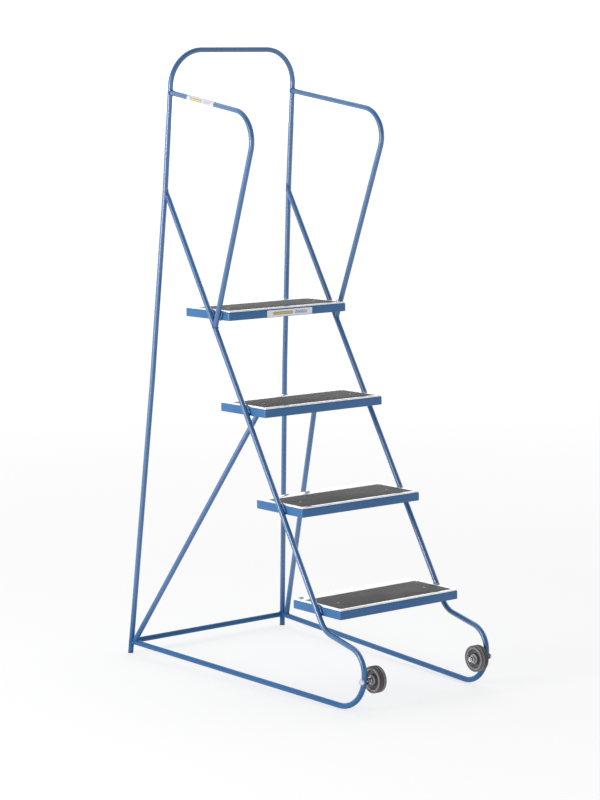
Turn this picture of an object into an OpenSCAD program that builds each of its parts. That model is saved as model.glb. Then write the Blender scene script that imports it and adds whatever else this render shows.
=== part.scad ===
// Rolling warehouse steps: a welded tube frame with four folded treads, two handrails
// and two small transport wheels that meet the floor only when the steps are tipped forward.
// Millimetres. Z is up, the climbing side faces -Y, the origin is the middle of the
// bounding box at floor level.

/* [Tube] */
// Outside diameter of every frame tube
tube_d = 15; // [12:0.5:25]
// Wall thickness of every frame tube
tube_wall = 1.5; // [1:0.1:3]

/* [Rear frame] */
// Height of the centreline of the top arch
arch_z = 1712; // [1400:1:2000]
// Centreline radius of the two arch corners
arch_r = 100; // [60:5:150]
// Half the distance between the uprights at the arch
arch_half = 212.5; // [190:0.5:260]
// Half the distance between the uprights at the upper bow
upper_bow_half = 217.5; // [195:0.5:270]
// Height of the upper bow
upper_bow_z = 1330; // [1200:10:1450]
// Half the distance between the uprights at the lower bow
lower_bow_half = 236; // [215:0.5:290]
// Height of the lower bow
lower_bow_z = 800; // [600:10:900]
// Half the distance between the uprights at the floor
foot_half = 276; // [240:1:320]
// Forward lean of the uprights for each millimetre of height
lean = 0.098; // [0.05:0.001:0.15]

/* [Side frames] */
// Distance of the front loop ahead of the rear feet
loop_reach = 974; // [850:1:1100]
// Height at which the stringer meets the upright
stringer_top_z = 1319; // [1200:1:1400]
// Forward run of the stringer for each millimetre of height
stringer_slope = 0.606; // [0.5:0.001:0.75]
// Height of the corner where the stringer turns forward
knee_z = 192; // [150:1:230]
// Bend radius at the knee
knee_r = 66; // [40:1:90]
// Height of the corner above the wheel
nose_z = 156; // [140:1:180]
// Bend radius above the wheel
nose_r = 62; // [40:1:66]
// Bend radius of the floor corner
floor_r = 93; // [70:1:95]
// Height of the runner where it meets the upright
runner_rear_z = 34; // [28:1:60]

/* [Handrails] */
// Height at which the handrail leaves the upright
rail_rear_z = 1596; // [1500:1:1650]
// Distance of the handrail corner ahead of the rear feet
rail_corner_reach = 569; // [500:1:650]
// Height of the handrail corner
rail_corner_z = 1534; // [1450:1:1600]
// Half distance between the handrail corners, which stand out wider than the stringers
rail_corner_half = 226; // [205:1:240]
// Bend radius of the handrail corner
rail_r = 80; // [50:1:110]
// Height at which the handrail lands on the stringer
rail_foot_z = 958; // [930:1:1000]

/* [Braces] */
// Half the distance between the brace feet
brace_foot_half = 275; // [240:1:300]
// Distance of the brace feet ahead of the rear feet
brace_foot_reach = 24; // [20:1:40]
// Height of the brace feet
brace_foot_z = 41; // [38:1:60]
// Half the distance between the brace heads
brace_head_half = 91; // [60:1:150]
// Distance of the brace heads ahead of the rear feet
brace_head_reach = 407; // [380:1:450]

/* [Treads] */
// Number of treads
tread_count = 4; // [4:1:4]
// Width of a tread
tread_w = 411; // [380:1:450]
// Depth of a tread, front to back
tread_depth = 202; // [180:1:230]
// Height of the folded flange
flange_h = 23; // [18:0.5:35]
// Sheet thickness
sheet = 2; // [1.5:0.1:3]
// Outside radius of the folds
fold_r = 3.5; // [2.5:0.1:6]
// Height of the top of the first tread
first_rise = 253; // [240:1:260]
// Rise from tread to tread
rise = 250; // [240:1:260]
// Going from tread to tread
going = 156; // [140:1:180]
// Distance of the front edge of the first tread ahead of the rear feet
first_reach = 870; // [840:1:900]

/* [Tread covering] */
// Width of the aluminium edging at the front
edging_front = 10; // [6:0.5:20]
// Width of the aluminium edging at each side
edging_side = 9; // [6:0.5:20]
// Width of the aluminium edging at the back, under the next tread
edging_back = 38; // [10:0.5:50]
// Thickness of the aluminium edging
edging_t = 3.5; // [1.5:0.1:5]
// Distance of the edging from the edge of the sheet
edging_inset = 2; // [2:0.5:8]
// Thickness of the mat
mat_t = 3; // [1.5:0.1:4]
// Head diameter of the mat rivets
rivet_d = 8; // [6:0.5:12]
// Shank diameter of the mat rivets
rivet_shank = 4; // [3:0.2:5]
// Distance of the front rivets from the sides of the tread
front_rivet_side = 54; // [30:1:120]
// Distance of the front rivets from the front of the tread
front_rivet_back = 77; // [30:1:100]
// Distance of the rear rivets from the sides of the tread
rear_rivet_side = 24; // [20:1:60]
// Distance of the rear rivets from the front of the tread
rear_rivet_back = 148; // [110:1:155]

/* [Wheels] */
// Outside diameter of the wheels
wheel_d = 71; // [60:1:90]
// Width of the tyre
tyre_w = 25; // [18:1:32]
// Diameter of the seat of the tyre on the hub
seat_d = 60; // [50:1:64]
// Height of the wheel axles
axle_z = 88; // [80:1:92]
// Diameter of the axle bolt
bolt_d = 8; // [6:1:10]
// Thickness of the nut that holds the bolt in the side tube
tube_nut_t = 9; // [5:0.5:12]
// Width of the bolt head and nuts across the flats
hex_af = 13; // [10:1:17]
// Outside diameter of the washers
washer_d = 17; // [14:1:24]
// Thickness of the washers
washer_t = 1.6; // [1:0.1:2.5]
// Outside diameter of the wheel bushes
bush_d = 12; // [11:0.5:16]

/* [Feet] */
// Thickness of the head of the rear foot plugs
plug_t = 4; // [3:0.5:8]
// Depth of the foot plugs inside the tube
plug_depth = 18; // [10:1:30]

/* [Labels] */
// Length of the handrail label
rail_label_l = 128; // [80:1:160]
// Distance of the handrail label along the rail
rail_label_from = 92; // [60:1:140]
// Length of the platform label
step_label_l = 158; // [100:1:200]
// Offset of the platform label from the middle
step_label_x = 4; // [-40:1:40]

/* [Part] */
// Which sub-part is drawn

/* [Hidden] */

blue = [0.24, 0.42, 0.66];
aluminium = [0.86, 0.87, 0.88];
zinc = [0.75, 0.76, 0.78];
mat_grey = [0.32, 0.31, 0.31];
tyre_grey = [0.3, 0.3, 0.31];
hub_grey = [0.55, 0.55, 0.56];
plug_black = [0.12, 0.12, 0.13];
label_white = [0.93, 0.94, 0.95];

tube_r = tube_d / 2;
bore_d = tube_d - 2 * tube_wall;
// how far a tube end stops short of the axis of the tube it is welded to
weld_back = 0.2 * tube_d;
// how far a cut runs past a face
past = 1;
// gap between parts that are laid on one another with glue
glue_gap = 0.02;
// seams between the legs and bends of a tube
seam_gap = 0.2;
collar_l = 1.2;
collar_proud = 0.02;
bow_r = 1500;
tube_fn = 48;
wheel_fn = 96;
small_fn = 32;

wheel_x = (tread_w + tube_d) / 2;
front_y = loop_reach + wheel_d / 2;
back_shift = (front_y - tube_r) / 2;

function unit(v) = v / norm(v);
function side_of(p, s) = [s * p[0], p[1], p[2]];
function mirrored(points, s) = [for (p = points) side_of(p, s)];

// direction of leg i, turn at corner i, straight length taken by the bend at corner i
function leg(p, i) = unit(p[i + 1] - p[i]);
function turn(p, i) = acos(leg(p, i - 1) * leg(p, i));
function setback(p, r, i) = (i == 0 || i == len(p) - 1) ? 0 : r[i] * tan(turn(p, i) / 2);
function straight(p, r, i) = norm(p[i + 1] - p[i]) - setback(p, r, i) - setback(p, r, i + 1);
// direction towards the inside of the bend at corner i, and the same carried round the bend
function inward(p, i) = unit(leg(p, i) - leg(p, i - 1) * (leg(p, i - 1) * leg(p, i)));
function carried(p, i) = inward(p, i) * cos(turn(p, i)) - leg(p, i - 1) * sin(turn(p, i));
function roll_between(p, i) = atan2(cross(carried(p, i - 1), inward(p, i)) * leg(p, i - 1),
    carried(p, i - 1) * inward(p, i));
function across(u) = unit(cross(u, abs(u[0]) > 0.7 ? [0, 1, 0] : [1, 0, 0]));
function first_side(p) = len(p) > 2 ? inward(p, 1) : across(leg(p, 0));

// Centrelines, measured from the rear feet
function upright_y(z) = -lean * z;
function half_between(z, z0, h0, z1, h1) = h0 + (h1 - h0) * (z - z0) / (z1 - z0);
function upright_half(z) = z < lower_bow_z
    ? half_between(z, 0, foot_half, lower_bow_z, lower_bow_half)
    : z < upper_bow_z
        ? half_between(z, lower_bow_z, lower_bow_half, upper_bow_z, upper_bow_half)
        : half_between(z, upper_bow_z, upper_bow_half, arch_z, arch_half);
function upright_at(z) = [upright_half(z), upright_y(z), z];
function stringer_y(z) = upright_y(stringer_top_z) - stringer_slope * (stringer_top_z - z);
// the floor corner is set so that the underside of the bend just touches the floor
function runner_angle(z) = atan((runner_rear_z - z) / norm([loop_reach, foot_half - wheel_x]));
function floor_corner(z) = tube_r - floor_r * (tan(45 + runner_angle(z) / 2) - 1);
function toward(a, b, gap) = a + unit(b - a) * gap;

foot_axis = upright_at(lower_bow_z) - upright_at(0);
arch_points = concat([for (z = [0, lower_bow_z, upper_bow_z, arch_z]) side_of(upright_at(z), -1)],
    [for (z = [arch_z, upper_bow_z, lower_bow_z, 0]) upright_at(z)]);
arch_radii = [0, bow_r, bow_r, arch_r, arch_r, bow_r, bow_r, 0];

floor_z = floor_corner(floor_corner(tube_r));
stringer_top = [wheel_x, stringer_y(stringer_top_z), stringer_top_z];
knee = [wheel_x, stringer_y(knee_z), knee_z];
nose = [wheel_x, -loop_reach, nose_z];
floor_point = [wheel_x, -loop_reach, floor_z];
runner_rear = upright_at(runner_rear_z);
loop_points = [toward(stringer_top, knee, weld_back), knee, nose, floor_point,
    toward(runner_rear, floor_point, weld_back)];
loop_radii = [0, knee_r, nose_r, floor_r, 0];

rail_top = [wheel_x, upright_y(rail_rear_z), rail_rear_z];
rail_corner = [rail_corner_half, -rail_corner_reach, rail_corner_z];
rail_foot = [wheel_x, stringer_y(rail_foot_z), rail_foot_z];
rail_points = [toward(rail_top, rail_corner, weld_back), rail_corner,
    toward(rail_foot, rail_corner, weld_back)];
rail_radii = [0, rail_r, 0];

brace_tread = 2;
brace_foot = [brace_foot_half, -brace_foot_reach, brace_foot_z];
brace_head = [brace_head_half, -brace_head_reach, tread_top(brace_tread) - sheet];
brace_points = [brace_foot, toward(brace_head, brace_foot, -tube_d)];

cross_points = [for (s = [-1, 1])
    [s * (upright_half(runner_rear_z) - weld_back), upright_y(runner_rear_z), runner_rear_z]];

function tread_top(i) = first_rise + i * rise;
function tread_front(i) = -first_reach + i * going;

// Wheel stack, measured outwards from the middle of the steps
run_gap = 0.6;
bush_w = tyre_w + 4;
// the side tube curves slightly where the washers sit, so they stand this far off its sides
seat_gap = 0.2;
inner_face = wheel_x - tube_r - seat_gap;
outer_face = wheel_x + tube_r + seat_gap;
tube_washer_x = inner_face - washer_t;
tube_nut_x = tube_washer_x - tube_nut_t;
spacer_x = tube_nut_x - washer_t;
bush_x = spacer_x - run_gap - bush_w;
nut_washer_x = bush_x - run_gap - washer_t;
nut_t = 7.5;
head_t = 5.3;
bolt_over = 2.5;
bolt_end_x = nut_washer_x - nut_t - bolt_over;
bore_clear = 0.05;
bolt_hole = bolt_d + 0.4;
tyre_x = bush_x + (bush_w - tyre_w) / 2;
tyre_crown = 3;
groove_w = 3;
groove_depth = 1.2;
rim_t = 3;
web_t = 5;
hub_boss_d = 27;
hub_w = 22;
hub_x = bush_x + (bush_w - hub_w) / 2;

// A round bar along a filleted line, drawn leg by leg; a short collar bridges each seam
module rod_leg(p, r, d, extra, i) {
    last = len(p) - 2;
    run = straight(p, r, i);
    from = i == 0 ? -extra : seam_gap;
    to = i == last ? run + extra : run - seam_gap;
    translate([0, 0, from])
        cylinder(d = d, h = to - from, $fn = tube_fn);
    if (i > 0)
        collar(d);
    if (i < last) {
        a = turn(p, i + 1);
        b = r[i + 1];
        spin = i + 2 < len(p) - 1 ? roll_between(p, i + 2) : 0;
        translate([0, 0, run]) {
            collar(d);
            multmatrix([[-1, 0, 0, b], [0, 0, 1, 0], [0, 1, 0, 0], [0, 0, 0, 1]])
                rotate_extrude(angle = a, $fn = tube_fn)
                    translate([b, 0])
                        circle(d = d, $fn = tube_fn);
            translate([b * (1 - cos(a)), 0, b * sin(a)])
                rotate([0, a, 0])
                    rotate([0, 0, spin])
                        rod_leg(p, r, d, extra, i + 1);
        }
    }
}

module collar(d) {
    translate([0, 0, -collar_l / 2])
        cylinder(d = d + 2 * collar_proud, h = collar_l, $fn = tube_fn);
}

module rod(p, r, d, extra = 0) {
    z = leg(p, 0);
    x = first_side(p);
    y = cross(z, x);
    translate(p[0])
        multmatrix([[x[0], y[0], z[0], 0], [x[1], y[1], z[1], 0], [x[2], y[2], z[2], 0], [0, 0, 0, 1]])
            rod_leg(p, r, d, extra, 0);
}

module pipe(p, r) {
    difference() {
        rod(p, r, tube_d);
        rod(p, r, bore_d, past);
    }
}

// Lays a piece drawn upright on the wheel axle, from x0 outwards
module along_x(s, x0) {
    translate([s * x0, -loop_reach, axle_z])
        rotate([0, s * 90, 0])
            children();
}

module placed() {
    translate([0, back_shift, 0])
        children();
}

module arch_solid() {
    rod(arch_points, arch_radii, tube_d);
}

module loop_solid(s) {
    rod(mirrored(loop_points, s), loop_radii, tube_d);
}

module rear_frame() {
    color(blue) placed() difference() {
        pipe(arch_points, arch_radii);
        for (s = [-1, 1])
            foot_cut(s);
    }
}

// everything below the head of a foot plug
module foot_cut(s) {
    reach = 2 * tube_d;
    axis = unit(side_of(foot_axis, s));
    rod([side_of(upright_at(0), s) - axis * reach, side_of(upright_at(0), s) + axis * plug_t],
        [0, 0], reach);
}

module side_frame(s) {
    color(blue) placed() difference() {
        pipe(mirrored(loop_points, s), loop_radii);
        arch_solid();
        translate([s * wheel_x - tube_d, -loop_reach, axle_z])
            rotate([0, 90, 0])
                cylinder(d = bolt_hole, h = 2 * tube_d, $fn = small_fn);
    }
}

module handrail(s) {
    color(blue) placed() difference() {
        pipe(mirrored(rail_points, s), rail_radii);
        arch_solid();
        loop_solid(s);
    }
}

module brace(s) {
    color(blue) placed() difference() {
        pipe(mirrored(brace_points, s), [0, 0]);
        arch_solid();
        loop_solid(s);
        translate([s * brace_head[0] - 2 * tube_d, brace_head[1] - 2 * tube_d, brace_head[2]])
            cube([4 * tube_d, 4 * tube_d, 2 * tube_d]);
    }
}

module cross_bar() {
    color(blue) placed() difference() {
        pipe(cross_points, [0, 0]);
        arch_solid();
        loop_solid(-1);
        loop_solid(1);
    }
}

// A block with rounded upright edges and rounded top edges, its top at z = 0
module rounded_plan(w, d, r) {
    translate([r, 0])
        square([w - 2 * r, d]);
    translate([0, r])
        square([w, d - 2 * r]);
    for (x = [r, w - r], y = [r, d - r])
        translate([x, y])
            circle(r = r, $fn = small_fn);
}

module top_rounded_side(w, h, r) {
    translate([0, -h])
        square([w, h - r]);
    translate([r, -h])
        square([w - 2 * r, h]);
    for (x = [r, w - r])
        translate([x, -r])
            circle(r = r, $fn = small_fn);
}

module soft_block(w, d, h, r) {
    intersection() {
        translate([0, 0, -h])
            linear_extrude(height = h)
                rounded_plan(w, d, r);
        translate([0, d, 0])
            rotate([90, 0, 0])
                linear_extrude(height = d)
                    top_rounded_side(w, h, r);
        rotate([90, 0, 90])
            linear_extrude(height = w)
                top_rounded_side(d, h, r);
    }
}

module on_tread(i) {
    placed()
        translate([-tread_w / 2, tread_front(i), tread_top(i)])
            children();
}

mat_x = edging_inset + edging_side;
mat_y = edging_inset + edging_front;
mat_w = tread_w - 2 * mat_x;
mat_d = tread_depth - mat_y - edging_inset - edging_back;
mat_fit = 0.3;
rivets_at = [[front_rivet_side, front_rivet_back], [tread_w - front_rivet_side, front_rivet_back],
    [rear_rivet_side, rear_rivet_back], [tread_w - rear_rivet_side, rear_rivet_back]];

module rivet_holes(d) {
    for (at = rivets_at)
        translate([at[0], at[1], -sheet - past])
            cylinder(d = d, h = sheet + mat_t + 2 * past, $fn = small_fn);
}

module tray(i) {
    color(blue) on_tread(i) difference() {
        soft_block(tread_w, tread_depth, flange_h, fold_r);
        translate([sheet, sheet, -sheet])
            soft_block(tread_w - 2 * sheet, tread_depth - 2 * sheet, flange_h, fold_r - sheet);
        rivet_holes(rivet_shank);
    }
}

module edging(i) {
    color(aluminium) on_tread(i) difference() {
        translate([edging_inset, edging_inset, 0])
            linear_extrude(height = edging_t)
                rounded_plan(tread_w - 2 * edging_inset, tread_depth - 2 * edging_inset, fold_r);
        translate([mat_x, mat_y, -past])
            linear_extrude(height = edging_t + 2 * past)
                rounded_plan(mat_w, mat_d, fold_r);
    }
}

module mat(i) {
    color(mat_grey) on_tread(i) difference() {
        translate([mat_x + mat_fit, mat_y + mat_fit, 0])
            linear_extrude(height = mat_t)
                rounded_plan(mat_w - 2 * mat_fit, mat_d - 2 * mat_fit, fold_r);
        rivet_holes(rivet_shank);
    }
}

// a low domed head over a plain shank with a clenched tail under the sheet
module rivets(i) {
    head_h = 1.6;
    tail_h = 1.2;
    tail_d = 6;
    dome_r = (rivet_d * rivet_d / 4 + head_h * head_h) / (2 * head_h);
    color(zinc) on_tread(i)
        for (at = rivets_at)
            translate([at[0], at[1], 0]) {
                translate([0, 0, -sheet])
                    cylinder(d = rivet_shank, h = sheet + mat_t, $fn = small_fn);
                translate([0, 0, -sheet - tail_h])
                    cylinder(d = tail_d, h = tail_h, $fn = small_fn);
                intersection() {
                    translate([0, 0, mat_t + head_h - dome_r])
                        sphere(r = dome_r, $fn = small_fn);
                    translate([0, 0, mat_t])
                        cylinder(d = rivet_d, h = head_h, $fn = small_fn);
                }
            }
}

// tyre section: crowned running face with a shallow groove round the middle
module tyre(s) {
    shoulder = wheel_d / 2 - tyre_crown;
    color(tyre_grey) placed() along_x(s, tyre_x) difference() {
        union() {
            cylinder(r = shoulder, h = tyre_w, $fn = wheel_fn);
            translate([0, 0, tyre_crown])
                cylinder(d = wheel_d, h = tyre_w - 2 * tyre_crown, $fn = wheel_fn);
            for (z = [tyre_crown, tyre_w - tyre_crown])
                translate([0, 0, z])
                    rotate_extrude($fn = wheel_fn)
                        translate([shoulder, 0])
                            circle(r = tyre_crown, $fn = small_fn);
        }
        translate([0, 0, -past])
            cylinder(d = seat_d, h = tyre_w + 2 * past, $fn = wheel_fn);
        translate([0, 0, (tyre_w - groove_w) / 2])
            difference() {
                cylinder(d = wheel_d + past, h = groove_w, $fn = wheel_fn);
                translate([0, 0, -past])
                    cylinder(r = wheel_d / 2 - groove_depth, h = groove_w + 2 * past, $fn = wheel_fn);
            }
    }
}

// rim ring, thin web and boss turned in one piece
module hub(s) {
    corner = 1;
    draft = 1.5;
    web_low = (hub_w - web_t) / 2;
    web_high = (hub_w + web_t) / 2;
    boss_r = hub_boss_d / 2;
    rim_r = seat_d / 2;
    rim_in = rim_r - rim_t;
    profile = [[bush_d / 2, 0], [boss_r - corner, 0], [boss_r, corner], [boss_r + draft, web_low],
        [rim_in - draft, web_low], [rim_in, corner], [rim_in + corner, 0], [rim_r, 0],
        [rim_r, hub_w], [rim_in + corner, hub_w], [rim_in, hub_w - corner],
        [rim_in - draft, web_high], [boss_r + draft, web_high], [boss_r, hub_w - corner],
        [boss_r - corner, hub_w], [bush_d / 2, hub_w]];
    color(hub_grey) placed() along_x(s, hub_x)
        rotate_extrude($fn = wheel_fn)
            polygon(profile);
}

module bush(s) {
    color(zinc) placed() along_x(s, bush_x) difference() {
        cylinder(d = bush_d, h = bush_w, $fn = tube_fn);
        translate([0, 0, -past])
            cylinder(d = bolt_d + 2 * bore_clear, h = bush_w + 2 * past, $fn = tube_fn);
    }
}

// A six-sided head or nut, its corners turned down at the free face
module hexagon(h) {
    chamfer = 0.8;
    turned_d = 1.1 * hex_af;
    face_d = 0.95 * hex_af;
    intersection() {
        cylinder(d = hex_af / cos(30), h = h, $fn = 6);
        union() {
            cylinder(d = turned_d, h = h - chamfer, $fn = small_fn);
            translate([0, 0, h - chamfer])
                cylinder(d1 = turned_d, d2 = face_d, h = chamfer, $fn = small_fn);
        }
    }
}

module axle_bolt(s) {
    head_x = outer_face + washer_t;
    color(zinc) placed() {
        along_x(s, bolt_end_x)
            cylinder(d = bolt_d, h = head_x - bolt_end_x, $fn = tube_fn);
        along_x(s, head_x)
            hexagon(head_t);
    }
}

module ring(d_out, d_in, h) {
    difference() {
        cylinder(d = d_out, h = h, $fn = tube_fn);
        translate([0, 0, -past])
            cylinder(d = d_in, h = h + 2 * past, $fn = tube_fn);
    }
}

module axle_washers(s) {
    color(zinc) placed()
        for (x = [nut_washer_x, spacer_x, tube_washer_x, outer_face])
            along_x(s, x)
                ring(washer_d, bolt_hole, washer_t);
}

// a nut lying against the inner side of the face at x0
module nut(s, x0, h) {
    color(zinc) placed() along_x(s, x0)
        rotate([180, 0, 0])
            difference() {
                hexagon(h);
                translate([0, 0, -past])
                    cylinder(d = bolt_d, h = h + 2 * past, $fn = tube_fn);
            }
}

// plug pushed into the tube, its head cut level with the floor
module foot_plug(s) {
    axis = unit(side_of(foot_axis, s));
    foot = side_of(upright_at(0), s);
    color(plug_black) placed() difference() {
        union() {
            rod([foot - axis * plug_t, foot + axis * plug_t], [0, 0], tube_d);
            rod([foot, foot + axis * (plug_t + plug_depth)], [0, 0], bore_d - 2 * glue_gap);
        }
        translate([foot[0] - tube_d, foot[1] - tube_d, -tube_d])
            cube([2 * tube_d, 2 * tube_d, tube_d]);
    }
}

label_t = 0.3;

module rail_label() {
    points = mirrored([toward(rail_top, rail_corner, rail_label_from),
        toward(rail_top, rail_corner, rail_label_from + rail_label_l)], -1);
    color(label_white) placed() difference() {
        rod(points, [0, 0], tube_d + 2 * label_t);
        rod(points, [0, 0], tube_d + 2 * glue_gap, past);
    }
}

module step_label() {
    margin = 1.2;
    last = tread_count - 1;
    color(label_white) placed()
        translate([step_label_x - step_label_l / 2, tread_front(last) - label_t,
            tread_top(last) - flange_h + margin])
            cube([step_label_l, label_t, flange_h - margin - fold_r]);
}

rear_frame();
side_frame(-1);  // left_side_frame
side_frame(1);  // right_side_frame
handrail(-1);  // left_handrail
handrail(1);  // right_handrail
brace(-1);  // left_brace
brace(1);  // right_brace
cross_bar();  // rear_cross_bar
tray(0);  // tread_1_tray
tray(1);  // tread_2_tray
tray(2);  // tread_3_tray
tray(3);  // tread_4_tray
edging(0);  // tread_1_edging
edging(1);  // tread_2_edging
edging(2);  // tread_3_edging
edging(3);  // tread_4_edging
mat(0);  // tread_1_mat
mat(1);  // tread_2_mat
mat(2);  // tread_3_mat
mat(3);  // tread_4_mat
rivets(0);  // tread_1_rivets
rivets(1);  // tread_2_rivets
rivets(2);  // tread_3_rivets
rivets(3);  // tread_4_rivets
tyre(-1);  // left_wheel_tyre
tyre(1);  // right_wheel_tyre
hub(-1);  // left_wheel_hub
hub(1);  // right_wheel_hub
bush(-1);  // left_wheel_bush
bush(1);  // right_wheel_bush
axle_bolt(-1);  // left_axle_bolt
axle_bolt(1);  // right_axle_bolt
axle_washers(-1);  // left_axle_washers
axle_washers(1);  // right_axle_washers
nut(-1, nut_washer_x, nut_t);  // left_axle_nut
nut(1, nut_washer_x, nut_t);  // right_axle_nut
nut(-1, tube_washer_x, tube_nut_t);  // left_tube_nut
nut(1, tube_washer_x, tube_nut_t);  // right_tube_nut
foot_plug(-1);  // left_foot_plug
foot_plug(1);  // right_foot_plug
rail_label();  // handrail_label
step_label();  // platform_label
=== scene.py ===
"""Rolling warehouse steps: the looks, floor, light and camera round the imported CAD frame."""

import math
import random

import bmesh
import bpy
from mathutils import Matrix, Vector


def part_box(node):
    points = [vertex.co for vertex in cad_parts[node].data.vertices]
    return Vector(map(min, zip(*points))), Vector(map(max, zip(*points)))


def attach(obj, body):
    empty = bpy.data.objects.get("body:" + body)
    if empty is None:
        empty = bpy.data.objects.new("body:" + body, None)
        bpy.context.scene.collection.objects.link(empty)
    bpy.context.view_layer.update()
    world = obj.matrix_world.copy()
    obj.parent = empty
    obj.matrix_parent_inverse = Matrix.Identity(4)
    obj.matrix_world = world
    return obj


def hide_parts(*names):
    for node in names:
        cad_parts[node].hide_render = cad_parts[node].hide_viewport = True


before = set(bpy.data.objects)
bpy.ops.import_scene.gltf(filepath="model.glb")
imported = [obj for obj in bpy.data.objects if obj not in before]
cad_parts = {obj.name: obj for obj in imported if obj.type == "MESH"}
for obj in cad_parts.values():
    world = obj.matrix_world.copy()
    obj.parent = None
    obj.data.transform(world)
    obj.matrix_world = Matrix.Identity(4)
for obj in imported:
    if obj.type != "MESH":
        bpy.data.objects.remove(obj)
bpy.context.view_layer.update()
SIDES = (("left", -1), ("right", 1))
TREADS = (1, 2, 3, 4)
MM = 0.001
X_AXIS = Vector((1, 0, 0))
Z_AXIS = Vector((0, 0, 1))

# ---------------------------------------------------------------- frame geometry, metres
# X runs to the right, the climbing side is at -Y and the floor at z = 0. A reach is a distance
# ahead of the rear feet. Points on a tube are on its centreline, and a bent tube is given by
# the corners that its straight legs would meet in and the radius of the bend there.
TUBE_R = 7.5 * MM
SHEET = 2 * MM
PLUG_T = 4 * MM
LEAN = 0.098                                    # the uprights' reach for each metre of height
RUNNER_REAR_Z = 34 * MM                         # where runners and cross bar meet the uprights
UPRIGHT_HEIGHTS = (0.0, 800 * MM, 1330 * MM, 1712 * MM)
UPRIGHT_HALVES = (276 * MM, 236 * MM, 217.5 * MM, 212.5 * MM)   # out from the middle, at those heights
ARCH_R = 100 * MM
BOW_R = 1.5                                     # the uprights' slight bends at the middle heights
STRINGER_TOP_Z = 1319 * MM
STRINGER_SLOPE = 0.606                          # the stringers' reach for each metre down
KNEE_Z, KNEE_R = 192 * MM, 66 * MM
NOSE_Z, NOSE_R = 156 * MM, 62 * MM
FLOOR_Z, FLOOR_R = 4.66 * MM, 93 * MM           # the loop's corner at the floor
RAIL_REAR_Z = 1596 * MM
RAIL_CORNER = (226 * MM, 569 * MM, 1534 * MM)   # distance from the middle, reach and height
RAIL_R = 80 * MM
RAIL_FOOT_Z = 958 * MM
BRACE_FOOT = (275 * MM, 24 * MM, 41 * MM)
BRACE_HEAD = (91 * MM, 407 * MM)                # under the third tread

bar_low, bar_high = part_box("rear_cross_bar")
tray_low, tray_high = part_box("tread_1_tray")
tyre_low, tyre_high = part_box("right_wheel_tyre")
hub_low, hub_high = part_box("right_wheel_hub")
REAR_Y = (bar_low.y + bar_high.y) / 2 + LEAN * RUNNER_REAR_Z
RAIL_X = tray_high.x + TUBE_R
AXLE = (tyre_low + tyre_high) / 2
TYRE_R = (tyre_high.z - tyre_low.z) / 2
HUB_R = (hub_high.z - hub_low.z) / 2
LOOP_REACH = REAR_Y - AXLE.y


def at_reach(x, reach, z):
    return Vector((x, REAR_Y - reach, z))


def upright(z, side=1):
    """The point of an upright at a height."""
    i = 0
    while i < len(UPRIGHT_HEIGHTS) - 2 and z > UPRIGHT_HEIGHTS[i + 1]:
        i += 1
    z0, z1 = UPRIGHT_HEIGHTS[i:i + 2]
    half0, half1 = UPRIGHT_HALVES[i:i + 2]
    return at_reach(side * (half0 + (half1 - half0) * (z - z0) / (z1 - z0)), LEAN * z, z)


def stringer(z, side=1):
    """The point of a stringer at a height."""
    return at_reach(side * RAIL_X, LEAN * STRINGER_TOP_Z + STRINGER_SLOPE * (STRINGER_TOP_Z - z), z)


def mirror(point, side):
    return Vector((side * point.x, point.y, point.z))


def mirror_all(points, side):
    return [mirror(point, side) for point in points]


def toward(a, b, distance):
    """The point at a distance from a on the way to b."""
    return a + (b - a).normalized() * distance


# ---------------------------------------------------------------- materials
MIX_A, MIX_B, MIX_OUT = 6, 7, 2                 # the colour sockets of Blender's mix node


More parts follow.
